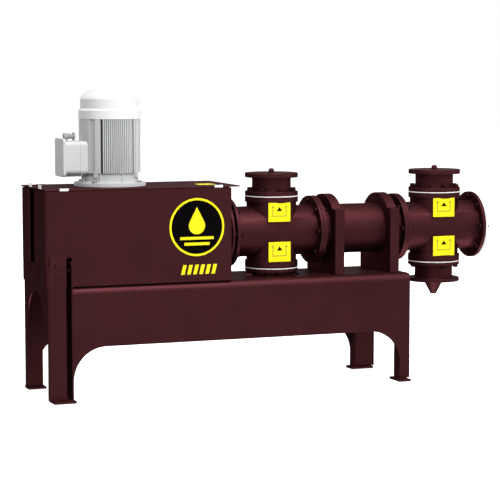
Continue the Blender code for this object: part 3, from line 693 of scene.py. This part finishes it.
def makeCowl():
    c, g = cowl, guard
    spot = (motor["x"], 0.0)
    profile = [(c["radius"], motor["high"] + hair)]
    profile += [(c["radius"] + out, c["step"] + up) for out, up in c["skirt"]]
    profile += [(c["upper"] + out, c["step"] + up) for out, up in c["shoulder"]]
    profile += [(c["upper"] - inward, c["crease"] + up) for inward, up in c["dome"]]
    profile += [(c["mouth"] + out, c["top"] + up) for out, up in c["rim"]]
    piece("fanCowl", turned(profile, "Z", spot, 120, 0), "motorPaint", sharp=26, replaces=("fan_cowl",))
    # a dark disc under the guard: painted shade for the inside of the cowl
    floor, reach = c["top"] - c["floor"], c["mouth"] - c["floorIn"]
    inside = turned([(reach, floor), (reach, floor + c["floorThick"])], "Z", spot, 96, 0)
    piece("cowlInsideShade", inside, "paintedShade")

    wires = bmesh.new()
    z = c["top"] - g["wire"] - g["below"]
    for radius in g["rings"]:
        addRing(wires, (*spot, z), radius, g["wire"])
    angles = [360 * number / g["spokes"] for number in range(g["spokes"])]
    wire = arc((0.0, 0.0), g["wire"], 0, 315, 7)
    addAround(wires, (*spot, z), angles, lambda bm: addPrism(bm, wire, "X", g["spokeFrom"], c["mouth"]))
    hub = softened([(g["hub"], floor + g["hubLow"]), (g["hub"], z + g["hubHigh"])], 0.001)
    addTurned(wires, hub, "Z", spot, 40)
    piece("cowlGuard", wires, "motorPaint")
    screws = addAround(bmesh.new(), (*spot, cowlScrew["z"]), corners,
                       lambda bm: addTurned(bm, cowlScrew["profile"], "X", (0.0, 0.0), 16))
    piece("cowlScrews", screws, "motorPaint")


terminal = {"left": 0.1253, "inward": 0.080, "half": 0.060, "z": (0.922, 1.0583), "round": 0.018,
            "edge": 0.0008, "collarX": (0.1880, 0.1925), "proud": 0.0018, "proudTop": 0.0006,
            "seat": 0.0005}                     # how far the box runs into the stator
boxLid = {"x": (0.113, 0.1247), "half": 0.065, "z": (0.912, 1.070), "round": 0.014, "edge": 0.0016,
          "screwY": 0.052, "screwZ": (0.925, 1.057), "screw": 0.0050, "screwX": (0.0035, 0.0002)}
boxRib = {"count": 8, "first": 0.132, "pitch": 0.0088, "width": 0.0035, "taper": 0.0005, "root": 0.002,
          "drop": 0.0100, "half": 0.042, "shadeX": (0.133, 0.196), "shadeHalf": 0.038, "shadeDrop": 0.0085}
gland = {"z": 1.077, "body": ((0.0138, 0.1325), (0.0138, 0.1490), (0.0108, 0.1495), (0.0108, 0.1722)),
         "nut": ((0.0185, 0.1722), (0.0185, 0.1798)), "collar": ((0.0122, 0.1548), (0.0122, 0.1600)),
         "stemX": 0.1410, "stem": 0.0085, "stemEnds": (-0.002, -0.004),
         "stemNut": 0.0115, "stemNutEnds": (-0.0005, 0.0035)}   # the elbow stands on the box at stemX


# a box with its four edges along X rounded
def roundedBox(x, half, z, radius, steps):
    bm = box(x, (-half, half), z)
    picked = [e for e in bm.edges if abs(e.verts[0].co.x - e.verts[1].co.x) > 0.001]
    bmesh.ops.bevel(bm, geom=picked, offset=radius, segments=steps, profile=0.5, affect="EDGES")
    return bm


def makeTerminalBox():
    t, c, r = terminal, boxLid, boxRib
    low, high = t["z"]
    body = roundedBox((t["left"], motor["x"] - t["inward"]), t["half"], t["z"], t["round"], 8)
    collar = roundedBox(t["collarX"], t["half"] + t["proud"], (low - t["proud"], high + t["proudTop"]),
                        t["round"], 8)
    body = combined(body, collar, "UNION")
    radius = motor["stator"] - t["seat"]
    core = turned([(radius, low - past), (radius, high + past)], "Z", (motor["x"], 0.0), 120, 0)
    piece("terminalBody", cut(body, core), "boxPaint", bevel=t["edge"], sharp=30, replaces=("terminal_box",))
    cover = roundedBox(c["x"], c["half"], c["z"], c["round"], 6)
    piece("terminalLid", cover, "boxPaint", bevel=c["edge"], segments=3, replaces=("terminal_box_lid",))

    ribs = bmesh.new()                          # cooling ribs under the box
    top, bottom = low + r["root"], low - r["drop"]
    for number in range(r["count"]):
        left = r["first"] + r["pitch"] * number
        right = left + r["width"]
        outline = [(left, top), (right, top), (right - r["taper"], bottom), (left + r["taper"], bottom)]
        addPrism(ribs, outline, "Y", -r["half"], r["half"])
    piece("terminalRibs", ribs, "castPaint")
    # a dark sheet behind the ribs under the box: painted shade between them
    shade = box(r["shadeX"], (-r["shadeHalf"], r["shadeHalf"]), (low - r["shadeDrop"], low + bite))
    piece("ribShade", shade, "paintedShade")
    screws = bmesh.new()
    head = softened([(c["screw"], c["x"][0] + sunk) for sunk in c["screwX"]], 0.0008)
    for y in (-c["screwY"], c["screwY"]):
        for z in c["screwZ"]:
            addTurned(screws, head, "X", (y, z), 20)
    piece("terminalScrews", screws, "zincSteel")

    g = gland
    centre, stem = (0.0, g["z"]), (g["stemX"], 0.0)
    fitting = bmesh.new()
    addTurned(fitting, softened(g["body"], 0.001), "X", centre, 40)
    addTurned(fitting, softened(g["nut"], 0.0015), "X", centre, 6, 0.0)
    addTurned(fitting, softened(g["collar"], 0.001), "X", centre, 40)
    start, end = g["stemEnds"]
    addTurned(fitting, [(g["stem"], high + start), (g["stem"], g["z"] + end)], "Z", stem, 24)
    addTurned(fitting, [(g["stemNut"], high + rise) for rise in g["stemNutEnds"]], "Z", stem, 6)
    piece("cableGland", fitting, "glandGrey", sharp=40, replaces=("cable_gland",))


makeMotor()
makeCowl()
makeTerminalBox()
print("motor: shield, stator, cowl, terminal box and gland")


# Pump: adapter, two valve bodies with necks, barrel on its saddles, end blank
pipe = {"radius": 0.108, "flange": 0.147, "thick": 0.0145, "neck": 0.084, "neckFlange": 0.1148,
        "weld": 0.0035, "circle": 0.1285, "bolt": 0.019, "head": 0.0115, "nut": 0.0140,
        "neckCircle": 0.1015, "neckBolt": 0.020, "neckHead": 0.0135, "neckNut": 0.0110,
        "thread": 0.005, "neckSoft": 0.0016, "sealSoft": 0.0004}
adapter = {"left": 0.8053, "ring": (0.827, 0.838), "right": 0.8492, "spigot": 0.118, "head": 0.0105,
           "stud": 0.0078, "thread": 0.004}
valves = ({"left": 0.8495, "axis": 1.0600, "right": 1.2480},
          {"left": 1.6475, "axis": 1.8460, "right": 2.0320})
barrel = {"left": 1.2483, "right": 1.6472, "saddles": ((1.295, 1.338), (1.556, 1.599)), "half": 0.155,
          "shoulder": 0.753, "crown": 0.154, "saddleEdge": 0.0018}
branch = {"bottom": 0.5045, "top": 0.8085, "lowCollar": 0.533, "highCollar": 0.785, "seal": 0.004}
outlet = {"low": 0.8131, "plate": 0.018, "top": 0.910, "flange": 0.019}
plug = {"radius": 0.0125, "sunk": 0.010, "rise": 0.009, "dome": 0.010}
inlet = {"bottom": 0.411, "flange": 0.016, "top": 0.4999, "plate": 0.014}
drain = {"tip": 0.351, "radii": (0.0125, 0.043), "soft": 0.0008}          # the cone under the second inlet


# a flanged pipe with a small weld where it meets each flange
def flanged(left, right, radius, flange, thick, thickRight=None):
    w = pipe["weld"]
    a, b = left + thick, right - (thickRight or thick)
    return [(flange, left), (flange, a), (radius + w, a), (radius + w * 0.3, a + w * 0.3), (radius, a + w),
            (radius, b - w), (radius + w * 0.3, b - w * 0.3), (radius + w, b), (flange, b), (flange, right)]


# a shape turned about the pump's axis
def onAxis(profile, steps=96, soft=0.0012):
    return turned(profile, "X", (0.0, axisZ), steps, soft)


def makeAdapter():
    a = adapter
    low, high = a["ring"]
    profile = [(a["spigot"], a["left"]), (a["spigot"], low), (pipe["flange"], low), (pipe["flange"], high),
               (a["spigot"], high), (a["spigot"], a["right"])]
    piece("adapter", onAxis(profile), replaces=("pump_adapter",))


def makeValve(number, v):
    p, b, o, i = pipe, branch, outlet, inlet
    spot, collar = (v["axis"], 0.0), p["neckFlange"]
    r, w = p["radius"] - 0.0001, p["weld"] * 0.5
    low, high = b["lowCollar"], b["highCollar"]
    run = onAxis(flanged(v["left"], v["right"], p["radius"], p["flange"], p["thick"]))
    upright = [(collar, b["bottom"]), (collar, low), (r + w, low), (r, low + w), (r, high - w), (r + w, high),
               (collar, high), (collar, b["top"])]
    body = combined(run, turned(upright, "Z", spot), "UNION")
    piece("valveBody%d" % number, body, sharp=46, replaces=("valve_body_%d" % number,))

    for side, low in (("outlet", b["top"] + hair), ("inlet", b["bottom"] - hair - b["seal"])):
        ring = turned([(collar, low), (collar, low + b["seal"])], "Z", spot, 96, p["sealSoft"])
        piece("%sSeal%d" % (side, number), ring, "sealWhite", replaces=("%s_gasket_%d" % (side, number),))
    profile = flanged(o["low"], o["top"], p["neck"], collar, o["plate"], o["flange"])
    neck = turned(profile, "Z", spot, 96, p["neckSoft"])
    piece("outletNeck%d" % number, neck, replaces=("outlet_neck_%d" % number,))
    rise = o["top"] + plug["rise"]
    profile = [(plug["radius"], o["top"] - plug["sunk"]), (plug["radius"], rise)]
    profile += arc((plug["radius"] - plug["dome"], rise), plug["dome"], 0, 85, 8)
    piece("outletPlug%d" % number, turned(profile, "Z", spot, 40, 0), sharp=40,
          replaces=("outlet_knob_%d" % number,))
    profile = flanged(i["bottom"], i["top"], p["neck"], collar, i["flange"], i["plate"])
    neck = turned(profile, "Z", spot, 96, p["neckSoft"])
    piece("inletNeck%d" % number, neck, replaces=("inlet_neck_%d" % number,))

    bolts = bmesh.new()
    for step in range(8):
        x, y = onCircle(p["neckCircle"], step)
        x, turn = x + v["axis"], 0.5 * (step % 2)
        addHex(bolts, (x, y, o["low"] + o["plate"]), "Z", p["neckBolt"], p["neckHead"], 1, turn=turn)
        addHex(bolts, (x, y, i["top"] - i["plate"]), "Z", p["neckBolt"], p["neckNut"], -1, turn=turn,
               washer=False)
    piece("neckBolts%d" % number, bolts, "shadedBoltPaint")


def makeBarrel():
    b, p = barrel, pipe
    tube = onAxis(flanged(b["left"], b["right"], p["radius"], p["flange"], p["thick"]))
    piece("barrel", tube, sharp=46, replaces=("barrel",))
    rise = math.degrees(math.asin((b["shoulder"] - axisZ) / b["crown"]))
    outline = [(-b["half"], frameTop + hair), (-b["half"], b["shoulder"])]
    outline += arc((0.0, axisZ), b["crown"], 180 - rise, rise, 40)
    outline += [(b["half"], b["shoulder"]), (b["half"], frameTop + hair)]
    radius = p["radius"] + hair
    for number, (left, right) in enumerate(b["saddles"], 1):
        bore = onAxis([(radius, left - past), (radius, right + past)], 96, 0)
        piece("saddle%d" % number, cut(prism(outline, "X", left, right), bore),
              bevel=b["saddleEdge"], segments=3, sharp=30, replaces=("saddle_%d" % number,))


def makeRunBolts():
    p, a = pipe, adapter
    first, second = valves
    pairs = ((first["right"] - p["thick"], barrel["left"] + p["thick"]),
             (barrel["right"] - p["thick"], second["left"] + p["thick"]))
    stud = [(a["stud"], a["ring"][1] - bite), (a["stud"], first["left"] + bite)]
    bolts = bmesh.new()
    for step in range(8):
        y, z = onCircle(p["circle"], step)
        z += axisZ
        for left, right in pairs:
            addHex(bolts, (left, y, z), "X", p["bolt"], p["head"], -1)
            addHex(bolts, (right, y, z), "X", p["bolt"], p["nut"], 1, p["thread"])
        addHex(bolts, (first["left"] + p["thick"], y, z), "X", p["bolt"], p["head"], 1, a["thread"])
        addTurned(bolts, stud, "X", (y, z), 16)
        addHex(bolts, (a["ring"][0], y, z), "X", p["bolt"], a["head"], -1)
        addHex(bolts, (second["right"] - p["thick"], y, z), "X", p["bolt"], p["head"], -1)
    piece("runBolts", bolts, "shadedBoltPaint")


blank = {"thick": 0.011, "circle": 0.128, "tip": 2.0550, "thread": 0.0045}


def makeEnds():
    b, last = blank, valves[1]
    narrow, wide = drain["radii"]
    cone = [(narrow, drain["tip"]), (wide, inlet["bottom"] - hair)]
    piece("drainCone", turned(cone, "Z", (last["axis"], 0.0), 72, drain["soft"]), replaces=("inlet_cone",))
    start = last["right"] + hair
    face = start + b["thick"]
    piece("endBlank", onAxis([(pipe["flange"], start), (pipe["flange"], face)], 120, 0.0010), "sealWhite",
          replaces=("end_blank",))
    tips = bmesh.new()
    for step in range(8):
        y, z = onCircle(b["circle"], step)
        addHex(tips, (face, y, z + axisZ), "X", pipe["bolt"], b["tip"] - face - b["thread"], 1, b["thread"])
    piece("endNuts", tips, "shadedBoltPaint")


# yellow plates in front of the branches, with a plain flow bracket; each place is middle, width, low and high
flowPlate = {"places": ((1.0520, 0.1015, 0.7050, 0.7865), (1.0530, 0.1015, 0.5335, 0.6185),
                        (1.8380, 0.1050, 0.7042, 0.7875), (1.8395, 0.1050, 0.5318, 0.6188)),
             "y": -0.1118, "thick": 0.0016, "edge": 0.0004, "stud": 0.006, "studEnd": -0.1060,
             "line": 0.0042, "print": 0.0003, "reach": 0.60, "rise": (0.30, 0.74), "middle": 0.66,
             "tip": (0.008, 0.011), "arrow": (0.013, -0.008, 0.010)}


def makeFlowPlates():
    f = flowPlate
    front, back, face = f["y"], f["y"] + f["thick"], f["y"] - f["print"]
    for number, (x, width, low, high) in enumerate(f["places"], 1):
        half, tall = width / 2, high - low
        outline = rectangle((x - half, x + half), (low, high))
        piece("flowPlate%d" % number, prism(outline, "Y", front, back), "signYellow", bevel=f["edge"])
        stud = [(f["stud"], back), (f["stud"], f["studEnd"])]
        piece("flowPlateStud%d" % number, turned(stud, "Y", (x, (low + high) / 2), 20, 0), "shadedBoltPaint")
        lines = bmesh.new()
        w, reach = f["line"] / 2, half * f["reach"]
        bottom, top = (low + tall * share for share in f["rise"])
        addPrism(lines, rectangle((x - reach - w, x + reach + w), (bottom - w, bottom + w)), "Y", front, face)
        for post in (x - reach, x + reach):
            addPrism(lines, rectangle((post - w, post + w), (bottom + w, top)), "Y", front, face)
            tip = [(post - f["tip"][0], top), (post + f["tip"][0], top), (post, top + f["tip"][1])]
            addPrism(lines, tip, "Y", front, face)
        piece("flowBracket%d" % number, lines, "signLine")
        middle = low + tall * f["middle"]
        w, base, rise = f["arrow"]
        arrow = prism([(x - w, middle + base), (x + w, middle + base), (x, middle + rise)], "Y", front, face)
        piece("flowArrow%d" % number, arrow, "signBlack")


makeAdapter()
for number, v in enumerate(valves, 1):
    makeValve(number, v)
makeBarrel()
makeRunBolts()
makeEnds()
makeFlowPlates()
print("pump: adapter, valve bodies, barrel, saddles and plates")

# parts that keep their own shape get the same finishes
finishOf = {"motor_grey": "motorPaint", "gasket_white": "sealWhite", "maroon_paint": "maroonPaint"}
for part in frame["record"]["subparts"]:
    mesh = nodes[part["node"]].data
    mesh.materials.clear()
    mesh.materials.append(materials[finishOf[part["material_slot"]]])


# Camera, floor and light
view = {"at": (-3.0416, -7.5414, 1.347), "down": 5.4235, "turn": -21.525, "lens": 135.9}
lights = {
    "front": {"at": (-0.6, -5.0, 9.2), "to": (0.0, 0.0, 0.7), "size": 7.0, "power": 770},
    "matt": {"at": (0.6, -7.0, 4.2), "to": (0.0, 0.0, 0.8), "size": 2.0, "power": 335, "mattOnly": True},
    "right": {"at": (8.0, 1.5, 2.5), "to": (0.0, 0.0, 0.7), "size": 3.0, "power": 200, "mattOnly": True},
    "rim": {"at": (-4.2, 6.0, 3.0), "to": (-0.7, 0.0, 0.9), "size": 2.5, "power": 400, "mattOnly": True},
}
paper = {"grey": 0.94, "roughness": 0.9, "specular": 0.1, "glow": 0.75, "size": 30.0, "below": 0.0005}
# strength of the room's light: each entry is a span of the direction, and what it gives at both ends
sky = {
    "rise": ((-0.25, 0.35), (0.33, 0.44)),
    "back": ((-0.5, 0.6), (1.0, 0.52)),
    "floor": ((-0.95, -0.72), (2.60, 0.0)),     # light off a pale floor
    "right": ((0.1, 0.5), (0.0, 0.48)),
    "rightBack": ((-0.9, 0.3), (0.12, 1.0)),    # the right side's light is strongest towards the back
}


def makeCamera():
    camera = bpy.data.cameras.new("camera")
    camera.lens = view["lens"]
    camera.sensor_width = 36.0
    camera.clip_end = 100.0
    holder = bpy.data.objects.new("camera", camera)
    holder.location = view["at"]
    holder.rotation_euler = (math.radians(90 - view["down"]), 0.0, math.radians(view["turn"]))
    bpy.context.scene.collection.objects.link(holder)
    bpy.context.scene.camera = holder


def makeFloor():
    bm = bmesh.new()
    level = Matrix.Translation((0, 0, -paper["below"]))
    bmesh.ops.create_grid(bm, x_segments=1, y_segments=1, size=paper["size"], matrix=level)
    floor = newObject("floor", bm)
    pale = bpy.data.materials.new("paleFloor")
    pale.use_nodes = True
    shader = pale.node_tree.nodes["Principled BSDF"]
    shader.inputs["Base Color"].default_value = (paper["grey"], paper["grey"], paper["grey"], 1)
    shader.inputs["Roughness"].default_value = paper["roughness"]
    shader.inputs["Specular IOR Level"].default_value = paper["specular"]
    shader.inputs["Emission Color"].default_value = (1, 1, 1, 1)
    shader.inputs["Emission Strength"].default_value = paper["glow"]    # lit from below, as a light table is
    floor.data.materials.append(pale)
    floor.visible_diffuse = False               # the paper floor throws no light back up
    floor.visible_glossy = False


def makeSky():
    world = bpy.data.worlds.new("studio")
    bpy.context.scene.world = world
    world.use_nodes = True
    tree = world.node_tree
    soft = tree.nodes["Background"]
    soft.inputs["Color"].default_value = (1, 1, 1, 1)
    split = tree.nodes.new("ShaderNodeSeparateXYZ")
    tree.links.new(tree.nodes.new("ShaderNodeTexCoord").outputs["Generated"], split.inputs["Vector"])

    def combine(operation, first, second):
        node = tree.nodes.new("ShaderNodeMath")
        node.operation = operation
        tree.links.new(first, node.inputs[0])
        tree.links.new(second, node.inputs[1])
        return node.outputs["Value"]

    x, y, z = (split.outputs[axis] for axis in "XYZ")
    level = combine("MULTIPLY", mapRange(tree, z, *sky["rise"]), mapRange(tree, y, *sky["back"]))
    level = combine("ADD", level, mapRange(tree, z, *sky["floor"]))
    side = combine("MULTIPLY", mapRange(tree, x, *sky["right"]), mapRange(tree, y, *sky["rightBack"]))
    tree.links.new(combine("ADD", level, side), soft.inputs["Strength"])
    white = tree.nodes.new("ShaderNodeBackground")            # what the camera itself sees behind the pump
    white.inputs["Color"].default_value = (1, 1, 1, 1)
    white.inputs["Strength"].default_value = 1.0
    pick = tree.nodes.new("ShaderNodeMixShader")
    tree.links.new(tree.nodes.new("ShaderNodeLightPath").outputs["Is Camera Ray"], pick.inputs[0])
    tree.links.new(soft.outputs[0], pick.inputs[1])
    tree.links.new(white.outputs[0], pick.inputs[2])
    tree.links.new(pick.outputs[0], tree.nodes["World Output"].inputs["Surface"])


def makeLights():
    for name, light in lights.items():
        lamp = bpy.data.lights.new(name, "AREA")
        lamp.shape = "SQUARE"
        lamp.size = light["size"]
        lamp.energy = light["power"]
        obj = bpy.data.objects.new(name, lamp)
        obj.location = light["at"]
        obj.rotation_euler = (Vector(light["to"]) - Vector(light["at"])).to_track_quat("-Z", "Y").to_euler()
        obj.visible_glossy = not light.get("mattOnly", False)     # shows no streak on the semi-gloss paint
        bpy.context.scene.collection.objects.link(obj)
    bpy.context.scene.view_settings.view_transform = "Standard"


makeCamera()
makeFloor()
makeSky()
makeLights()
print("camera, floor and light")
